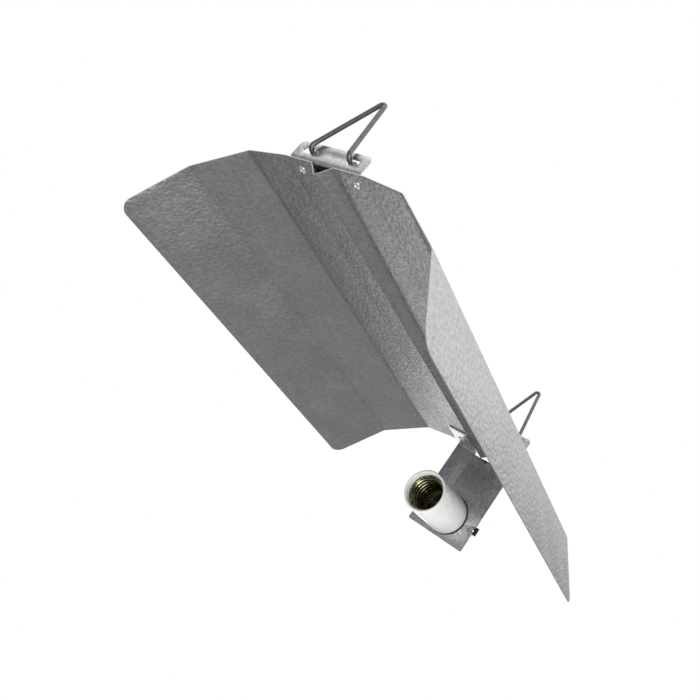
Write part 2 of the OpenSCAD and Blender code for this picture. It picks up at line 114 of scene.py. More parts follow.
half_len = SHEET_LENGTH / 2
plate_y = half_len + PLATE_GAP
front_upright_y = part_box("front_bracket")[0].y / MM
rear_upright_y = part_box("rear_bracket")[1].y / MM - STEEL_T
front_upright_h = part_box("front_bracket")[1].z / MM
rear_upright_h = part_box("rear_bracket")[1].z / MM
press = next(j for j in frame["joints"] if j["name"] == "centre_contact_press")
plate_tilt = math.atan2(press["axis"][2], press["axis"][1])


# ---- Camera, light and floor ----

def aim(thing, place, target, roll=0):
    """Puts a camera or light at a place, in metres, and points it at a target."""
    way = Vector(target) - Vector(place)
    turn = way.to_track_quat("-Z", "Y").to_matrix().to_4x4()
    thing.matrix_world = Matrix.Translation(place) @ turn @ Matrix.Rotation(roll, 4, "Z")
    return thing


def linear(hex_colour):
    """An sRGB hex colour as the linear RGBA that Blender's sockets take."""
    parts = [int(hex_colour[i:i + 2], 16) / 255 for i in (1, 3, 5)]
    return (*[c / 12.92 if c <= 0.04045 else ((c + 0.055) / 1.055) ** 2.4 for c in parts], 1)


def add(tree, kind, inputs=(), **fields):
    """Adds one shader node. An input is a value, or another node's output to link."""
    made = tree.nodes.new("ShaderNode" + kind)
    for name, value in fields.items():
        setattr(made, name, value)
    for name, value in dict(inputs).items():
        if isinstance(value, bpy.types.NodeSocket):
            tree.links.new(value, made.inputs[name])
        else:
            made.inputs[name].default_value = value
    return made


def area_light(name, place, target, size, watts):
    """A rectangular light, its place, target and size in metres."""
    lamp = bpy.data.lights.new(name, "AREA")
    lamp.shape = "RECTANGLE"
    lamp.size, lamp.size_y = size
    lamp.energy = watts
    holder = bpy.data.objects.new(name, lamp)
    bpy.context.scene.collection.objects.link(holder)
    return aim(holder, place, target)


CAMERA_PLACE = (0.4109, -0.5384, -0.2270)
CAMERA_WAY = (-0.6442, 0.7229, 0.2501)
CAMERA_ROLL = math.radians(39.45)

camera = bpy.data.objects.new("camera", bpy.data.cameras.new("camera"))
bpy.context.scene.collection.objects.link(camera)
camera.data.lens = 36.86
camera.data.sensor_width = 36
aim(camera, CAMERA_PLACE, Vector(CAMERA_PLACE) + Vector(CAMERA_WAY), CAMERA_ROLL)
bpy.context.scene.camera = camera
bpy.context.scene.view_settings.view_transform = "Standard"


def studio():
    """A white backdrop for the eye, a grey room that is bright overhead for the reflections, two
    softboxes and a card."""
    world = bpy.data.worlds.new("studio")
    world.use_nodes = True
    tree = world.node_tree
    tree.nodes.clear()
    ray = add(tree, "LightPath")
    way = add(tree, "TexCoord")
    height = add(tree, "SeparateXYZ", {"Vector": way.outputs["Generated"]})
    room = add(tree, "MapRange", {"Value": height.outputs["Z"], "From Min": 0.25, "From Max": 0.75,
                                  "To Min": 0.42, "To Max": 1.58}, interpolation_type="SMOOTHSTEP")
    walls = add(tree, "Background", {"Color": linear("#FFFFFF"), "Strength": room.outputs[0]})
    white = add(tree, "Background", {"Color": linear("#FFFFFF"), "Strength": 1.0})
    mix = add(tree, "MixShader", {0: ray.outputs["Is Camera Ray"], 1: walls.outputs[0],
                                  2: white.outputs[0]})
    add(tree, "OutputWorld", {"Surface": mix.outputs[0]})
    bpy.context.scene.world = world
    area_light("front_softbox", (2.4, -1.5, -1.2), (0, 0.1, -0.05), (1.6, 1.6), 54)
    area_light("side_softbox", (-1.8, -1.6, 1.1), (0, -0.2, 0), (0.9, 0.9), 0.6)
    area_light("rear_card", (-1.9, 2.2, -0.8), (0, 0.2, 0), (2.0, 1.6), 13)


def floor():
    """A round pale floor well below the hanging lamp."""
    mesh = bpy.data.meshes.new("studio_floor")
    bm = bmesh.new()
    bmesh.ops.create_circle(bm, cap_ends=True, radius=1.3, segments=96)
    bm.to_mesh(mesh)
    bm.free()
    slab = bpy.data.objects.new("studio_floor", mesh)
    slab.location.z = -1.2
    slab.visible_glossy = False
    bpy.context.scene.collection.objects.link(slab)
    paint = bpy.data.materials.new("pale_floor_paint")
    paint.use_nodes = True
    shader = paint.node_tree.nodes["Principled BSDF"]
    shader.inputs["Base Color"].default_value = linear("#E9E9E7")
    shader.inputs["Roughness"].default_value = 0.8
    mesh.materials.append(paint)


# ---- Materials ----

def material(name, ior=1.5, metallic=0.0, roughness=0.5):
    """A new principled material and its tree, shader and object coordinates in metres."""
    made = bpy.data.materials.new(name)
    made.use_nodes = True
    tree = made.node_tree
    shader = tree.nodes["Principled BSDF"]
    shader.inputs["Metallic"].default_value = metallic
    shader.inputs["Roughness"].default_value = roughness
    if not metallic:
        shader.inputs["IOR"].default_value = ior
    place = add(tree, "TexCoord").outputs["Object"]
    return made, tree, shader, place


def per(size_mm):
    """The scale of a pattern whose feature is this many millimetres across."""
    return 1 / (size_mm * MM)


def mottle(tree, place, size_mm, dark, light, detail=3, low=0.35, high=0.65):
    """A cloudy colour between two shades."""
    cloud = add(tree, "TexNoise", {"Vector": place, "Scale": per(size_mm), "Detail": detail})
    spread = add(tree, "MapRange", {"Value": cloud.outputs["Fac"], "From Min": low, "From Max": high})
    mix = add(tree, "Mix", {0: spread.outputs[0], 6: linear(dark), 7: linear(light)}, data_type="RGBA")
    return mix.outputs[2], spread.outputs[0]


def relief(tree, shader, height, depth_mm, strength=1.0):
    """Bends the surface's normal by a height pattern this many millimetres deep."""
    bump = add(tree, "Bump", {"Height": height, "Distance": depth_mm * MM, "Strength": strength})
    tree.links.new(bump.outputs["Normal"], shader.inputs["Normal"])


def stucco_aluminium():
    """Mill-finish aluminium sheet rolled between stucco-embossed rollers: soft round pits about
    3.6 mm apart break every reflection up, and the rolled skin between them stays satin."""
    made, tree, shader, place = material("stucco_embossed_aluminium", metallic=1.0, roughness=0.45)
    tone, cloud = mottle(tree, place, 45, "#A4A4A4", "#ADADAD")
    # Painted shade along the bends: the sheet's colour goes darker, towards #878787, by the crease shade that
    # each vertex carries.
    crease_shade_mask = add(tree, "Attribute", attribute_name="crease_shade").outputs["Fac"]
    crease_shaded_tone = add(tree, "Mix", {0: crease_shade_mask, 6: tone, 7: linear("#878787")}, data_type="RGBA")
    warp = add(tree, "TexNoise", {"Vector": place, "Scale": per(6), "Detail": 1})
    bent = add(tree, "Mix", {0: 0.002, 4: place, 5: warp.outputs["Color"]}, data_type="VECTOR")
    pits = add(tree, "TexVoronoi", {"Vector": bent.outputs[1], "Scale": per(3.6), "Smoothness": 0.45},
               feature="SMOOTH_F1")
    relief(tree, shader, pits.outputs["Distance"], 0.7)
    # Painted shade in the pits: the colour is darkest in each pit's hollow and up to a tenth lighter on the
    # skin between the pits.
    pit_shade = add(tree, "MapRange", {"Value": pits.outputs["Distance"], "From Min": 0.1, "From Max": 0.7,
                                  "To Min": 0.88, "To Max": 1.10})
    shaded = add(tree, "Mix", {0: 1.0, 6: crease_shaded_tone.outputs[2], 7: pit_shade.outputs[0]}, data_type="RGBA",
                 blend_type="MULTIPLY")
    tree.links.new(shaded.outputs[2], shader.inputs["Base Color"])
    satin = add(tree, "MapRange", {"Value": cloud, "To Min": 0.40, "To Max": 0.50})
    tree.links.new(satin.outputs[0], shader.inputs["Roughness"])
    return made


def galvanised_steel():
    """Hot-dip galvanised strip: faint zinc crystals about 7 mm across, each with its own shade and
    gloss, over a fine grey speckle."""
    made, tree, shader, place = material("galvanised_steel_strip", metallic=1.0, roughness=0.42)
    crystals = add(tree, "TexNoise", {"Vector": place, "Scale": per(7), "Detail": 2, "Distortion": 1.2})
    speckle = add(tree, "TexNoise", {"Vector": place, "Scale": per(1.6), "Detail": 3})
    blend = add(tree, "Mix", {0: 0.45, 2: crystals.outputs["Fac"], 3: speckle.outputs["Fac"]})
    shade = add(tree, "MapRange", {"Value": blend.outputs[0], "From Min": 0.36, "From Max": 0.64})
    tone = add(tree, "Mix", {0: shade.outputs[0], 6: linear("#ABACAE"), 7: linear("#D2D3D5")},
               data_type="RGBA")
    tree.links.new(tone.outputs[2], shader.inputs["Base Color"])
    gloss = add(tree, "MapRange", {"Value": crystals.outputs["Fac"], "To Min": 0.22, "To Max": 0.36})
    tree.links.new(gloss.outputs[0], shader.inputs["Roughness"])
    relief(tree, shader, speckle.outputs["Fac"], 0.06)
    return made


def sheared_edge():
    """The bare edge that a shear leaves on sheet metal: bright, with fine vertical tear marks."""
    made, tree, shader, place = material("bright_sheared_edge", metallic=1.0, roughness=0.28)
    tone, tears = mottle(tree, place, 0.6, "#B6B6B4", "#DCDCDA", detail=2)
    tree.links.new(tone, shader.inputs["Base Color"])
    relief(tree, shader, tears, 0.02)
    return made


def drawn_wire():
    """Bright-drawn mild steel wire gone dull grey, with die marks and a thin oil film."""
    made, tree, shader, place = material("drawn_steel_wire", metallic=1.0, roughness=0.45)
    tone = mottle(tree, place, 5, "#606061", "#6E6E6F")[0]
    tree.links.new(tone, shader.inputs["Base Color"])
    marks = add(tree, "TexNoise", {"Vector": place, "Scale": per(0.7), "Detail": 3})
    relief(tree, shader, marks.outputs["Fac"], 0.01)
    return made


def rivet_aluminium():
    """Upset aluminium of a blind rivet: bright and smooth, with a faint forged skin."""
    made, tree, shader, place = material("rivet_aluminium", metallic=1.0, roughness=0.28)
    tone, skin = mottle(tree, place, 1.5, "#E2E2E0", "#F4F4F2")
    tree.links.new(tone, shader.inputs["Base Color"])
    relief(tree, shader, skin, 0.004)
    return made


def glazed_porcelain():
    """Steatite porcelain under a clear glaze: cool white, glossy, with a slow waviness where the
    glaze ran and a few fine specks."""
    made, tree, shader, place = material("glazed_porcelain", roughness=0.16)
    tone, run = mottle(tree, place, 9, "#EDEDEC", "#F6F6F5")
    specks = add(tree, "TexNoise", {"Vector": place, "Scale": per(1.4), "Detail": 0})
    speck = add(tree, "MapRange", {"Value": specks.outputs["Fac"], "From Min": 0.79, "From Max": 0.84})
    spotted = add(tree, "Mix", {0: speck.outputs[0], 6: tone, 7: linear("#B9B6AE")}, data_type="RGBA")
    tree.links.new(spotted.outputs[2], shader.inputs["Base Color"])
    relief(tree, shader, run, 0.05)
    return made


def fibre_gasket():
    """Vulcanised fibre: dark red-brown, dull, with short pressed fibres."""
    made, tree, shader, place = material("vulcanised_fibre", roughness=0.75)
    tone, fibres = mottle(tree, place, 0.8, "#280D0B", "#451914")
    tree.links.new(tone, shader.inputs["Base Color"])
    relief(tree, shader, fibres, 0.05)
    return made


def plated_shell():
    """Rolled brass with a yellow-passivated plating, tarnished to dark olive in clouds about 4 mm
    across, glossy where it is clean and duller where the film is thick."""
    made, tree, shader, place = material("passivated_brass_shell", metallic=1.0, roughness=0.2)
    tone, film = mottle(tree, place, 4, "#55523A", "#A8A482")
    tree.links.new(tone, shader.inputs["Base Color"])
    dull = add(tree, "MapRange", {"Value": film, "To Min": 0.15, "To Max": 0.30})
    tree.links.new(dull.outputs[0], shader.inputs["Roughness"])
    relief(tree, shader, film, 0.03)
    return made


def worn_metal(name, dark, light, roughness, size_mm):
    """A small metal part with handling marks and a slightly uneven finish."""
    made, tree, shader, place = material(name, metallic=1.0, roughness=roughness)
    tone, marks = mottle(tree, place, size_mm, dark, light)
    tree.links.new(tone, shader.inputs["Base Color"])
    scuffs = add(tree, "MapRange", {"Value": marks, "To Min": roughness - 0.06, "To Max": roughness + 0.08})
    tree.links.new(scuffs.outputs[0], shader.inputs["Roughness"])
    relief(tree, shader, marks, 0.015)
    return made


def moulded_black(name, dark, light, roughness, grain_mm):
    """A black moulding with the fine grain of its mould."""
    made, tree, shader, place = material(name, roughness=roughness)
    tone, grain = mottle(tree, place, grain_mm, dark, light)
    tree.links.new(tone, shader.inputs["Base Color"])
    relief(tree, shader, grain, 0.02)
    return made


# ---- Shapes ----

def mesh_piece(name, bm, *materials):
    """Turns a bmesh in millimetres into an object in metres."""
    bmesh.ops.scale(bm, vec=(MM, MM, MM), verts=bm.verts)
    mesh = bpy.data.meshes.new(name)
    bm.to_mesh(mesh)
    bm.free()
    for finish in materials:
        mesh.materials.append(finish)
    made = bpy.data.objects.new(name, mesh)
    bpy.context.scene.collection.objects.link(made)
    return made


def modify(made, kind, **settings):
    """Adds one modifier with its settings."""
    changer = made.modifiers.new(kind.lower(), kind)
    for field, value in settings.items():
        setattr(changer, field, value)


def settle(made, crease_degrees=32):
    """Applies the modifiers and shades the mesh smooth between its sharp edges."""
    shaped = bpy.data.meshes.new_from_object(made.evaluated_get(bpy.context.evaluated_depsgraph_get()))
    made.modifiers.clear()
    made.data = shaped
    for face in shaped.polygons:
        face.use_smooth = True
    shaped.set_sharp_from_angle(angle=math.radians(crease_degrees))
    return made


def fit(made, body, slot, *nodes):
    """Makes a piece ride on its body and stand for its CAD nodes. The slot is not used."""
    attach(made, body)
    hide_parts(*nodes)
    return made


def on_plate():
    """The plate's own frame: its front face is the XZ plane, and +Y is its back."""
    return Matrix.Translation((0, plate_y, 0)) @ Matrix.Rotation(plate_tilt, 4, "X")


def on_lamp_axis():
    """The lamp's axis as +Z, out of the plate's front face."""
    return on_plate() @ Matrix.Translation((0, 0, -SOCKET_DROP)) @ Matrix.Rotation(math.pi / 2, 4, "X")


def circle(x, y, r, steps=32):
    """A round outline of (x, y) points."""
    return [(x + r * math.cos(TAU * i / steps), y + r * math.sin(TAU * i / steps)) for i in range(steps)]


def slot_outline(x, y, length, height, steps=12):
    """A slot's outline, with half-round ends."""
    r = height / 2
    ends = [(length / 2 - r, -math.pi / 2), (r - length / 2, math.pi / 2)]
    return [(x + shift + r * math.cos(start + math.pi * i / steps),
             y + r * math.sin(start + math.pi * i / steps))
            for shift, start in ends for i in range(steps + 1)]


def rounded(points, radii, steps=6, closed=False):
    """A line through the points, with the corner at each one turned into an arc."""
    count = len(points)
    line = []
    for i, point in enumerate(points):
        p, r = Vector(point), radii[i]
        if r <= 0 or (not closed and i in (0, count - 1)):
            line.append(tuple(p))
            continue
        back = (Vector(points[i - 1]) - p).normalized()
        ahead = (Vector(points[(i + 1) % count]) - p).normalized()
        half = back.angle(ahead) / 2
        centre = p + (back + ahead).normalized() * (r / math.sin(half))
        start = p + back * (r / math.tan(half)) - centre
        end = p + ahead * (r / math.tan(half)) - centre
        sweep = start.angle_signed(end)
        for k in range(steps + 1):
            a = -sweep * k / steps
            turned = Vector((start.x * math.cos(a) - start.y * math.sin(a),
                             start.x * math.sin(a) + start.y * math.cos(a)))
            line.append(tuple(centre + turned))
    return line


def blank(outline, holes):
    """A flat sheet-metal blank in the XY plane, with holes."""
    bm = bmesh.new()
    for loop in (outline, *holes):
        corners = [bm.verts.new((*p, 0)) for p in loop]
        for i, corner in enumerate(corners):
            bm.edges.new((corners[i - 1], corner))
    bmesh.ops.triangle_fill(bm, use_beauty=True, edges=bm.edges[:], normal=(0, 0, 1))
    return bm


def path_lengths(line):
    """The distance along a line to each of its points."""
    lengths = [0]
    for a, b in zip(line, line[1:]):
        lengths.append(lengths[-1] + (Vector(b) - Vector(a)).length)
    return lengths


def cut_lines(bm, axis, places):
    """Scores the blank across X or Y at each place, so that it can bend there."""
    normal = (1, 0, 0) if axis == 0 else (0, 1, 0)
    for place in places:
        point = (place, 0, 0) if axis == 0 else (0, place, 0)
        bmesh.ops.bisect_plane(bm, geom=bm.verts[:] + bm.edges[:] + bm.faces[:], dist=1e-5,
                               plane_co=point, plane_no=normal)


def fold(bm, line, place):
    """Bends the blank so that its Y runs along a side line, given as (y, z) points."""
    lengths = path_lengths(line)
    cut_lines(bm, 1, lengths[1:-1])
    for vert in bm.verts:
        i = max(0, min(len(line) - 2, sum(l <= vert.co.y + 1e-6 for l in lengths) - 1))
        share = (vert.co.y - lengths[i]) / (lengths[i + 1] - lengths[i])
        at = Vector(line[i]).lerp(Vector(line[i + 1]), share)
        vert.co = place(vert.co.x, at.x, at.y)


def sheet_part(name, bm, thickness, face_finish, outward, body, slot, *nodes):
    """Gives a folded blank its thickness and broken edges. Outward is the skin's known side."""
    bmesh.ops.recalc_face_normals(bm, faces=bm.faces[:])
    probe = max(bm.faces, key=lambda f: f.calc_area())
    if probe.normal.dot(Vector(outward(probe.calc_center_median()))) < 0:
        bmesh.ops.reverse_faces(bm, faces=bm.faces[:])
    made = mesh_piece(name, bm, face_finish, finishes["sheared_edge"])
    modify(made, "SOLIDIFY", thickness=thickness * MM, offset=-1, material_offset_rim=1)
    modify(made, "BEVEL", width=0.1 * thickness * MM, segments=2, limit_method="ANGLE",
           angle_limit=math.radians(50), material=-1)
    return fit(settle(made), body, slot, *nodes)


def turned(bm, profile, steps=96, frame_matrix=Matrix()):
    """Revolves an (r, z) profile round Z. A closed profile repeats its first point."""
    rings = []
    for r, z in profile:
        if r < 1e-6:
            rings.append([bm.verts.new(frame_matrix @ Vector((0, 0, z)))] * steps)
        else:
            rings.append([bm.verts.new(frame_matrix @ Vector(
                (r * math.cos(TAU * k / steps), r * math.sin(TAU * k / steps), z))) for k in range(steps)])
    if profile[0] == profile[-1]:
        bmesh.ops.delete(bm, geom=rings[-1], context="VERTS")
        rings[-1] = rings[0]
    for low, high in zip(rings, rings[1:]):
        for k in range(steps):
            corners = [low[k - 1], low[k], high[k], high[k - 1]]
            unique = list(dict.fromkeys(corners))
            if len(unique) > 2:
                bm.faces.new(unique)
    return bm


def swept(bm, path, normals, radii, sides=20):
    """A tube along a path, with a ring of the given radius at each point and closed ends."""
    rings = []
    for i, (point, first, r) in enumerate(zip(path, normals, radii)):
        ahead = (path[min(i + 1, len(path) - 1)] - path[max(i - 1, 0)]).normalized()
        first = (first - ahead * first.dot(ahead)).normalized()
        second = ahead.cross(first)
        rings.append([bm.verts.new(point + r * (math.cos(TAU * k / sides) * first
                                                + math.sin(TAU * k / sides) * second)) for k in range(sides)])
    for low, high in zip(rings, rings[1:]):
        for k in range(sides):
            bm.faces.new([low[k - 1], low[k], high[k], high[k - 1]])
    bm.faces.new(list(reversed(rings[0])))
    bm.faces.new(rings[-1])
    bmesh.ops.recalc_face_normals(bm, faces=bm.faces[:])
    return bm


def bored(made, matrix, r, z0, z1, steps=40):
    """Drills a round hole along a matrix's Z, from z0 to z1."""
    bm = turned(bmesh.new(), [(0, z0), (r, z0), (r, z1), (0, z1)], steps, matrix)
    bmesh.ops.recalc_face_normals(bm, faces=bm.faces[:])
    drill = mesh_piece("drill", bm)
    combine(made, drill, "DIFFERENCE")


def combine(made, other, operation):
    """Joins another closed solid to this one, or cuts it away, and uses it up."""
    modify(made, "BOOLEAN", operation=operation, object=other, solver="EXACT")
    made.data = bpy.data.meshes.new_from_object(made.evaluated_get(bpy.context.evaluated_depsgraph_get()))
    made.modifiers.clear()
    bpy.data.objects.remove(other)


# ---- Sheet-metal parts ----

def embossed_reflector():
    """The wing reflector: one sheet with a valley, two flat strips and three panels a side."""
    half = [(0, -VALLEY_DEPTH), (VALLEY_HALF_W, 0)]
    for width, slope in zip(PANEL_WIDTHS, map(math.radians, PANEL_SLOPES)):
        x, z = half[-1]
        half.append((x + width * math.cos(slope), z - width * math.sin(slope)))
    points = [(-x, z) for x, z in reversed(half[1:])] + half
    bends = [0, *reversed(SHEET_BENDS[1:]), *SHEET_BENDS, 0]
    line = rounded(points, bends, steps=5)
    line = flanked(line, points, CREASE_SHADE_REACH)
    width = path_lengths(line)[-1]
    corners = [(-half_len, 0), (half_len, 0), (half_len, width), (-half_len, width)]
    holes = []
    for y in (RIVET_INSET - half_len, half_len - RIVET_INSET):
        flat = before_taper(RIVET_X, y)
        inset = path_lengths([(flat, 0), *(p for p in line if p[0] > flat)])[-1]
        holes += [circle(y, u, RIVET_HOLE_R) for u in (inset, width - inset)]
    bm = blank(rounded(corners, [SHEET_CORNER_R] * 4, steps=10, closed=True), holes)
    lines = int(half_len / SHEET_GRID)
    cut_lines(bm, 0, [SHEET_GRID * i for i in range(-lines, lines + 1)])
    fold(bm, line, lambda along, x, z: (x, along, z))
    # Painted shade along the bends: each vertex stores how dark its colour is painted, fading out over the
    # crease shade reach from the nearest bend, with that bend's own strength.
    crease_shade = bm.verts.layers.float.new("crease_shade")
    for vert in bm.verts:
        near = min(points[1:-1], key=lambda p: abs(p[0] - vert.co.x))
        depth = CREASE_SHADE_STRENGTHS[min(abs(i - len(points) // 2) for i, p in enumerate(points) if p == near)]
        vert[crease_shade] = depth * max(0, 1 - abs(near[0] - vert.co.x) / CREASE_SHADE_REACH)
    for vert in bm.verts:
        taper_valley(vert.co)
    return sheet_part("embossed_reflector", bm, SHEET_T, finishes["stucco_aluminium"],
                      lambda p: (p.x, 0, 60), "reflector", "stucco_aluminium", "reflector_sheet")


def flanked(line, points, reach):
    """The line with an extra point at this distance on both sides of each inner corner."""
    extra = []
    for i in range(1, len(points) - 1):
        corner = Vector(points[i])
        for other in (points[i - 1], points[i + 1]):
            extra.append(tuple(corner + (Vector(other) - corner).normalized() * reach))
    return sorted(set(line) | set(extra))


def valley_size(y):
    """The valley's size at a place along the ridge, as a share of its size at the free end."""
    return 1 - (1 - VALLEY_TAPER) * (y + half_len) / SHEET_LENGTH


def taper_valley(point):
    """Narrows the valley towards the lampholder end. The flat strip beside it takes up the rest."""
    share = valley_size(point.y)
    crown_x = VALLEY_HALF_W + PANEL_WIDTHS[0]
    reach = abs(point.x)
    if reach <= VALLEY_HALF_W:
        point.x *= share
        point.z *= share
    elif reach < crown_x:
        stretch = (crown_x - share * VALLEY_HALF_W) / PANEL_WIDTHS[0]
        point.x = math.copysign(crown_x - (crown_x - reach) * stretch, point.x)


def before_taper(x, y):
    """Where a place on the flat strip lies before the valley tapers."""
    crown_x = VALLEY_HALF_W + PANEL_WIDTHS[0]
    stretch = (crown_x - valley_size(y) * VALLEY_HALF_W) / PANEL_WIDTHS[0]
    return crown_x - (crown_x - x) / stretch


def hanger_bracket(name, upright_h, hole_y, place, outward, node):
    """A pressed right-angled bracket with two hanger slots and two rivet holes."""
    bend = BEND_R + STEEL_T
    line = rounded([(0, upright_h), (0, 0), (FLANGE_LEN, 0)], [0, bend, 0], steps=8)
    bent = bend * (2 - math.pi / 2)
    total = upright_h + FLANGE_LEN - bent
    half = BRACKET_W / 2
    outline = rounded([(-half, 0), (half, 0), (half, total), (-half, total)], [UPRIGHT_R] * 4,
                      steps=8, closed=True)
    holes = [slot_outline(s * SLOT_X, SLOT_DROP, SLOT_LEN, SLOT_H) for s in (-1, 1)]
    holes += [circle(s * RIVET_X, upright_h + hole_y - bent, RIVET_HOLE_R) for s in (-1, 1)]
    bm = blank(outline, holes)
    fold(bm, line, place)
    return sheet_part(name, bm, STEEL_T, finishes["galvanised_steel"], outward, "reflector",
                      "galvanised_steel", node)


def lampholder_plate():
    """The leaning end plate, with its top bent over into two tabs under the sheet."""
    tab_z = -SHEET_T - STEEL_T
    centre_z = tab_z - TAB_BEND_R
    outer = TAB_BEND_R + STEEL_T
    out = Vector((math.cos(plate_tilt), math.sin(plate_tilt)))
    down = Vector((math.sin(plate_tilt), -math.cos(plate_tilt)))
    centre = Vector((-(TAB_BEND_R + centre_z * out.y) / out.x, centre_z))
    foot = PLATE_H * down + STEEL_T * out
    sweep = math.pi / 2 - plate_tilt
    arc = [centre + outer * Vector((math.cos(a), math.sin(a)))
           for a in (math.pi / 2 - sweep * i / 8 for i in range(9))]
    line = [(-TAB_LEN, -SHEET_T), *map(tuple, arc), tuple(foot)]
    total = path_lengths(line)[-1]

    def drop_to(distance):
        """The blank's Y at a distance down the plate from the ridge."""
        return total - (PLATE_H - distance)

    half, notch = PLATE_W / 2, NOTCH_HALF_W
    notch_end = drop_to(NOTCH_DEPTH)
    outline = rounded(
        [(-half, 0), (-notch, 0), (-notch, notch_end), (notch, notch_end), (notch, 0), (half, 0),
         (half, total), (-half, total)],
        [TAB_CORNER_R] * 2 + [NOTCH_CORNER_R] * 2 + [TAB_CORNER_R] * 2 + [PLATE_CORNER_R] * 2,
        steps=6, closed=True)
    axis_u = drop_to(SOCKET_DROP)
    holes = [circle(0, axis_u, GROMMET_HOLE_R, 48)]
    holes += [circle(s * SCREW_X, axis_u, SCREW_HOLE_R) for s in (-1, 1)]
    holes += [circle(CLIP_X, axis_u, SCREW_HOLE_R, 24), circle(EARTH_X, axis_u - EARTH_RISE, 2)]
    rivet_u = TAB_LEN - PLATE_GAP - RIVET_INSET
    holes += [circle(s * RIVET_X, rivet_u, RIVET_HOLE_R) for s in (-1, 1)]
    bm = blank(outline, holes)
    fold(bm, line, lambda x, y, z: (x, plate_y + y, z))
    return sheet_part("bent_lampholder_plate", bm, STEEL_T, finishes["galvanised_steel"],
                      lambda p: (0, 1, 0), "reflector", "galvanised_steel", "lampholder_plate")


# ---- Hangers ----

def wire_hanger(name, rise, place, body, node):
    """A hanger bent from one wire: a small loop on top, two spread legs and two hooked feet."""
    loop_z = rise - LOOP_R
    slope = math.atan2(FOOT_X, loop_z) - math.asin(LOOP_R / math.hypot(FOOT_X, loop_z))
    up = Vector((-math.sin(slope), 0, math.cos(slope)))
    side = Vector((math.cos(slope), 0, math.sin(slope)))
    foot = Vector((FOOT_X, 0, 0))
    bend_y = FOOT_REACH - FOOT_BEND_R
    tip = foot + Vector((0, FOOT_REACH, 0)) + (FOOT_BEND_R + STUB_LEN) * up
    path, normals, radii = [tip, tip - 0.35 * up], [side, side], [WIRE_R * 0.82, WIRE_R]
    steps = 10
    for end in (1, -1):
        start = 0 if end > 0 else -math.pi / 2
        for i in range(steps + 1):
            a = start - math.pi / 2 * i / steps
            path.append(foot + Vector((0, end * bend_y + FOOT_BEND_R * math.cos(a), 0))
                        + FOOT_BEND_R * (1 + math.sin(a)) * up)
            normals.append(side)
            radii.append(WIRE_R)
    for i in range(steps):
        a = slope + (math.pi / 2 - slope) * i / (steps - 1)
        path.append(Vector((LOOP_R * math.cos(a), -FOOT_REACH, loop_z + LOOP_R * math.sin(a))))
        normals.append(Vector((math.cos(a), 0, math.sin(a))))
        radii.append(WIRE_R)

    def mirrored(v):
        return Vector((-v.x, v.y, v.z))

    path += [mirrored(p) for p in reversed(path[:-1])]
    normals += [mirrored(n) for n in reversed(normals[:-1])]
    radii += list(reversed(radii[:-1]))
    bm = swept(bmesh.new(), path, normals, radii)
    bmesh.ops.transform(bm, matrix=place, verts=bm.verts)
    bmesh.ops.recalc_face_normals(bm, faces=bm.faces[:])
    made = mesh_piece(name, bm, finishes["drawn_wire"])
    return fit(settle(made, 50), body, "drawn_wire", node)


# ---- Rivets ----

def blind_rivets(name, pack_t, y, z, node):
    """Blind rivets with domed heads below and upset tails above, each round a broken mandrel."""
    head_r, head_h, tail_r, tail_h, shank_r, core_r = 4, 1.3, 3, 2.2, 2.0, 1.05
    dome = [(head_r * math.cos(a), -head_h * math.sin(a)) for a in
            (math.radians(d) for d in (0, 12, 25, 40, 55, 68))]
    profile = [(0, -0.25), (core_r - 0.2, -0.25), (core_r - 0.05, -0.5), (core_r, -head_h + 0.25),
               (core_r + 0.25, -head_h), *reversed(dome), (head_r, 0.02), (shank_r, 0.02),
               (shank_r, pack_t), (tail_r - 0.3, pack_t), (tail_r, pack_t + 0.5),
               (tail_r - 0.1, pack_t + tail_h * 0.55), (tail_r - 0.8, pack_t + tail_h - 0.3),
               (1.4, pack_t + tail_h), (0.9, pack_t + tail_h - 0.25), (0, pack_t + tail_h - 0.25)]
    bm = bmesh.new()
    for s in (-1, 1):
        turned(bm, profile, 40, Matrix.Translation((s * RIVET_X, y, z)))
    bmesh.ops.recalc_face_normals(bm, faces=bm.faces[:])
    made = mesh_piece(name, bm, finishes["rivet_aluminium"])
    return fit(settle(made, 40), "reflector", "rivet_aluminium", node)


# ---- Lampholder ----

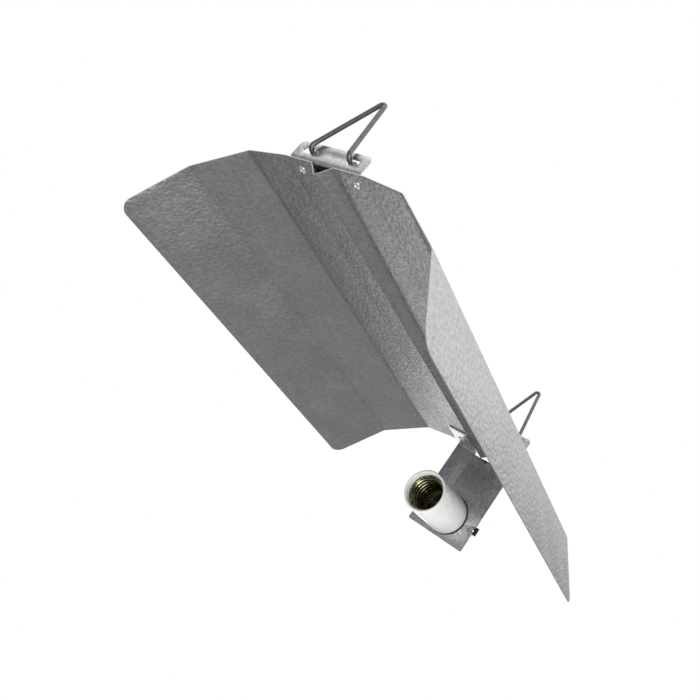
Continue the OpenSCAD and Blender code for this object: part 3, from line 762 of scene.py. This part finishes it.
def porcelain_body():
    """The glazed socket body: a rounded lip, a stepped mouth, a bore and a wiring chamber."""
    line = rounded(
        [(PORCELAIN_R, GASKET_T), (PORCELAIN_R, PORCELAIN_END), (MOUTH_R, PORCELAIN_END),
         (MOUTH_R, PORCELAIN_END - MOUTH_DEPTH), (BORE_R, PORCELAIN_END - MOUTH_DEPTH),
         (BORE_R, FLOOR_TOP), (0.001, FLOOR_TOP)],
        [0.8, 1.7, 1.5, 1.0, 0.5, 0.8, 0], steps=6)
    profile = [(CHAMBER_R, GASKET_T), (PORCELAIN_R - 0.8, GASKET_T), (PORCELAIN_R - 0.25, GASKET_T + 0.25),
               (PORCELAIN_R, GASKET_T + 0.8), *line[1:-1], (0, FLOOR_TOP)]
    under = [(0, FLOOR_Z), (CHAMBER_R - 1.5, FLOOR_Z), (CHAMBER_R - 0.4, FLOOR_Z - 0.4),
             (CHAMBER_R, FLOOR_Z - 1.5), (CHAMBER_R, GASKET_T)]
    bm = bmesh.new()
    turned(bm, [*under[:-1], *profile], 128)
    bmesh.ops.recalc_face_normals(bm, faces=bm.faces[:])
    made = mesh_piece("porcelain_socket_body", bm, finishes["porcelain"])
    post_line = [(0, GASKET_T), (POST_R, GASKET_T), (POST_R, FLOOR_Z + 1), (0, FLOOR_Z + 1)]
    posts = bmesh.new()
    for s in (-1, 1):
        turned(posts, post_line, 40, Matrix.Translation((s * SCREW_X, 0, 0)))
    bmesh.ops.recalc_face_normals(posts, faces=posts.faces[:])
    combine(made, mesh_piece("posts", posts), "UNION")
    for s in (-1, 1):
        bored(made, Matrix.Translation((s * SCREW_X, 0, 0)), SCREW_HOLE_R, 0, FLOOR_TOP + 1)
        bored(made, Matrix.Translation((s * SCREW_X, 0, 0)), SCREW_SINK_R, FLOOR_TOP - SCREW_SINK,
              FLOOR_TOP + 1)
        bored(made, Matrix.Translation((0, s * SHELL_SCREW_Y, 0)), SHELL_HOLE_R, FLOOR_Z - 1, FLOOR_TOP + 1)
    bored(made, Matrix(), CONTACT_R + 0.05, FLOOR_Z - 1, FLOOR_TOP + 1)
    made.data.transform(lamp_axis_metres())
    return fit(settle(made, 35), "reflector", "porcelain", "lampholder_body")


def lamp_axis_metres():
    """The lamp-axis frame for a mesh that is already in metres."""
    axis = on_lamp_axis()
    return Matrix.Translation(axis.translation * MM) @ axis.to_3x3().to_4x4()


def rolled_shell():
    """The screw shell: thin sheet rolled into a round lamp thread, with a flat pierced floor."""
    bm = bmesh.new()
    steps, rows = 120, 150
    low, high = FLOOR_TOP + 0.2, PORCELAIN_END - MOUTH_DEPTH + SHELL_T / 2
    mid = THREAD_R - THREAD_DEPTH / 2
    rings = []
    for j in range(rows + 1):
        z = low + (high - low) * j / rows
        below_collar = high - z
        swell = min(1, max(0, (z - THREAD_Z + 3) / 3), max(0, (below_collar - 1) / 1.5))
        flare = 0.9 * max(0, 1 - below_collar / 1.5) ** 2
        ring = []
        for k in range(steps):
            a = TAU * k / steps
            wave = math.cos(TAU * z / THREAD_PITCH - a)
            r = mid + swell * THREAD_DEPTH / 2 * math.copysign(abs(wave) ** 0.8, wave) + flare
            ring.append(bm.verts.new((r * math.cos(a), r * math.sin(a), z)))
        rings.append(ring)
    for r in (mid + 1.6, COLLAR_R - 0.2, COLLAR_R):
        rings.append([bm.verts.new((*p, high)) for p in circle(0, 0, r, steps)])
    for lower, upper in zip(rings, rings[1:]):
        for k in range(steps):
            bm.faces.new([lower[k - 1], lower[k], upper[k], upper[k - 1]])
    floor_holes = [circle(0, 0, SHELL_FLOOR_HOLE_R, 48)]
    floor_holes += [circle(s * SCREW_X, 0, SCREW_SINK_R + 0.2) for s in (-1, 1)]
    floor_holes += [circle(0, s * SHELL_SCREW_Y, SHELL_HOLE_R, 24) for s in (-1, 1)]
    disc = blank(circle(0, 0, mid, steps), floor_holes)
    for vert in disc.verts:
        vert.co.z = low
    flat = bpy.data.meshes.new("shell_floor")
    disc.to_mesh(flat)
    disc.free()
    bm.from_mesh(flat)
    bmesh.ops.remove_doubles(bm, verts=bm.verts[:], dist=0.01)
    bmesh.ops.recalc_face_normals(bm, faces=bm.faces[:])
    bmesh.ops.transform(bm, matrix=on_lamp_axis(), verts=bm.verts)
    made = mesh_piece("rolled_screw_shell", bm, finishes["shell_plating"])
    modify(made, "SOLIDIFY", thickness=SHELL_T * MM, offset=0)
    return fit(settle(made, 45), "reflector", "shell_plating", "screw_shell")


def contact_plunger():
    """The sprung centre contact: a turned brass stem with a shallow dished head."""
    z, r = CONTACT_HEAD_Z, CONTACT_HEAD_R
    profile = [(0, CONTACT_TAIL_Z), (1.7, CONTACT_TAIL_Z), (CONTACT_R - 0.3, CONTACT_TAIL_Z + 0.3),
               (CONTACT_R, CONTACT_TAIL_Z + 0.8), (CONTACT_R, z - 0.4), (CONTACT_R + 0.5, z),
               (r - 0.3, z), (r, z + 0.3), (r, z + 1.4), (r - 0.25, z + 1.8), (r - 1.2, z + 2.35),
               (r - 2.0, z + 2.4), (2.2, z + 2.2), (1.6, z + 1.6), (1.2, z + 1.2), (0, z + 1.1)]
    bm = turned(bmesh.new(), profile, 64, on_lamp_axis())
    bmesh.ops.recalc_face_normals(bm, faces=bm.faces[:])
    made = mesh_piece("turned_centre_contact", bm, finishes["contact_brass"])
    return fit(settle(made, 30), "contact", "contact_brass", "centre_contact")


def coil_spring():
    """The compression spring under the contact's head, with closed ends."""
    coils, wire_r, coil_r = 4, 0.4, 3.6
    low, high = FLOOR_TOP + wire_r, CONTACT_HEAD_Z - wire_r
    steps = 40 * coils
    path, normals = [], []
    for i in range(steps + 1):
        share = i / steps
        eased = min(1, max(0, (share - 0.1) / 0.8))
        a = TAU * coils * share
        path.append(Vector((coil_r * math.cos(a), coil_r * math.sin(a), low + (high - low) * eased)))
        normals.append(Vector((math.cos(a), math.sin(a), 0)))
    bm = swept(bmesh.new(), path, normals, [wire_r] * len(path), 10)
    bmesh.ops.transform(bm, matrix=on_lamp_axis(), verts=bm.verts)
    made = mesh_piece("coiled_contact_spring", bm, finishes["spring_steel"])
    fit(settle(made, 50), "reflector", "spring_steel", "contact_spring")
    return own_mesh(made)


# ---- Build ----

finishes = {
    "stucco_aluminium": stucco_aluminium(),
    "galvanised_steel": galvanised_steel(),
    "sheared_edge": sheared_edge(),
    "drawn_wire": drawn_wire(),
    "rivet_aluminium": rivet_aluminium(),
    "porcelain": glazed_porcelain(),
    "gasket_rubber": fibre_gasket(),
    "shell_plating": plated_shell(),
    "contact_brass": worn_metal("contact_brass", "#A88A45", "#D0B36A", 0.28, 3),
    "spring_steel": worn_metal("spring_steel", "#7E7E7C", "#A5A5A2", 0.3, 2),
    "zinc_steel": worn_metal("zinc_plated_steel", "#8F9192", "#BDBFC0", 0.26, 2),
    "black_nylon": moulded_black("black_nylon", "#101010", "#1D1D1D", 0.5, 0.6),
    "black_rubber": moulded_black("black_rubber", "#141414", "#222222", 0.7, 0.8),
}

studio()
floor()
embossed_reflector()
hanger_bracket("front_pressed_bracket", front_upright_h, RIVET_INSET,
               lambda x, y, z: (x, front_upright_y + y, z), lambda p: (0, -10, -1), "front_bracket")
rear_outer_y = rear_upright_y + STEEL_T
hanger_bracket("rear_pressed_bracket", rear_upright_h, rear_outer_y - half_len + RIVET_INSET,
               lambda x, y, z: (x, rear_outer_y - y, z), lambda p: (0, 10, -1), "rear_bracket")
lampholder_plate()
wire_hanger("front_wire_hanger", FRONT_RISE,
            Matrix.Translation((0, front_upright_y + STEEL_T / 2, front_upright_h - SLOT_DROP))
            @ Matrix.Rotation(math.radians(-FRONT_LEAN), 4, "X"), "front_hanger", "front_hanger")
wire_hanger("rear_wire_hanger", REAR_RISE,
            Matrix.Translation((0, rear_upright_y + STEEL_T / 2, rear_upright_h - SLOT_DROP))
            @ Matrix.Rotation(math.radians(-REAR_LEAN), 4, "X") @ Matrix.Diagonal((1, -1, 1, 1)),
            "rear_hanger", "rear_hanger")
blind_rivets("front_blind_rivets", SHEET_T + STEEL_T, RIVET_INSET - half_len, -SHEET_T, "front_rivets")
blind_rivets("rear_blind_rivets", SHEET_T + 2 * STEEL_T, half_len - RIVET_INSET, -SHEET_T - STEEL_T,
             "rear_rivets")
porcelain_body()
rolled_shell()
contact_plunger()
coil_spring()

CARRIED = {
    "base_gasket": "gasket_rubber", "shell_screws": "zinc_steel", "contact_clip": "spring_steel",
    "centre_terminal": "contact_brass", "shell_terminal": "contact_brass", "shell_nut": "zinc_steel",
    "terminal_screws": "zinc_steel", "mounting_screws": "zinc_steel", "mounting_washers": "zinc_steel",
    "mounting_nuts": "zinc_steel", "cable_grommet": "black_rubber", "cord_clip": "black_nylon",
    "clip_screw": "zinc_steel", "clip_nut": "zinc_steel", "earth_stud": "contact_brass",
    "earth_washer": "zinc_steel", "earth_nut": "contact_brass",
}
for node, finish in CARRIED.items():
    for seat in frame["nodes"][node].material_slots:
        seat.material = finishes[finish]
